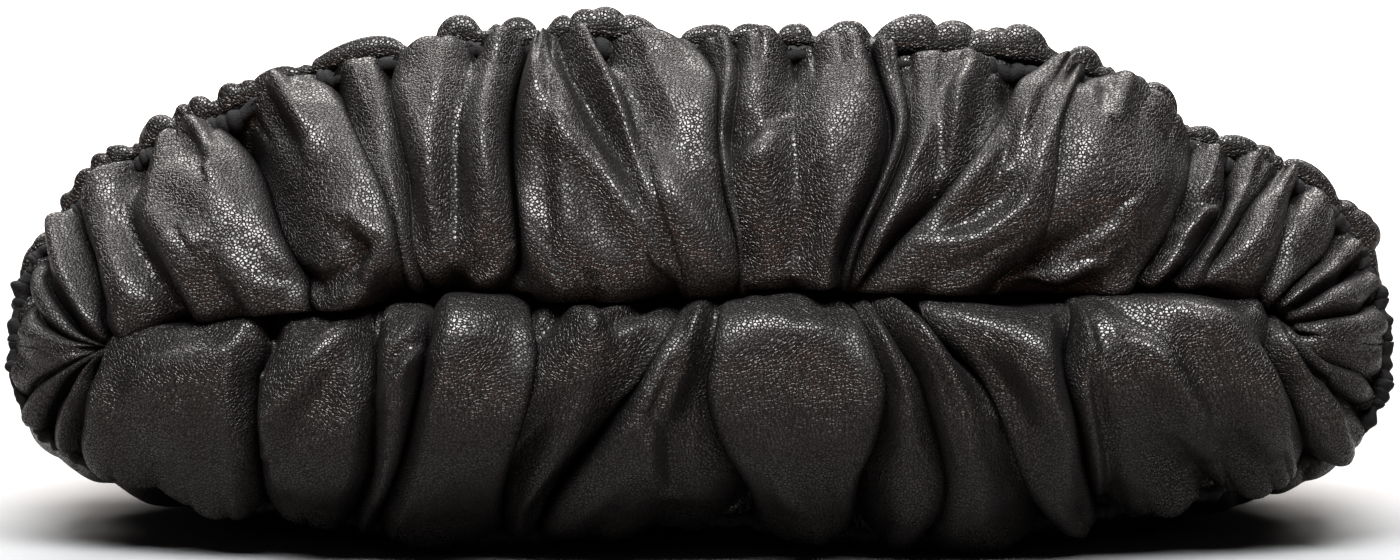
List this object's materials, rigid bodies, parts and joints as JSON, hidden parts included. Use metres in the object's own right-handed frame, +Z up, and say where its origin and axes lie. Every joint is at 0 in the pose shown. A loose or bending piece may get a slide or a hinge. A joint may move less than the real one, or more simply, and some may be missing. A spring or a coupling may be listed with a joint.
{
  "type": "gathered leather pouch bag",
  "caption": "Soft gathered pouch bag lying on its back: two puffed, pleated bands round a slit mouth, ruched elastic seams, and two full face panels.",
  "frame": {"origin": "on the flattened underside, below the middle of the bag, where the bag rests", "axes": "+X along the mouth, to the right when looking into it, +Y from the mouth to the base seam, +Z up from the surface through the thickness of the bag"},
  "size_m": [0.3488, 0.2008, 0.1325],
  "materials": {
    "leather": "soft black nappa, fine pebble grain, low gloss",
    "elastic": "black gathered leather over elastic, close rows of stitching",
    "clasp_steel": "plain satin disc"
  },
  "bodies": {
    "root": {"mouth_band_upper": "leather", "mouth_band_lower": "leather", "face_panel_upper": "leather", "face_panel_lower": "leather", "elastic_seam_upper": "elastic", "elastic_seam_lower": "elastic", "base_seam": "elastic", "magnetic_clasp": "clasp_steel"}
  },
  "joints": []
}
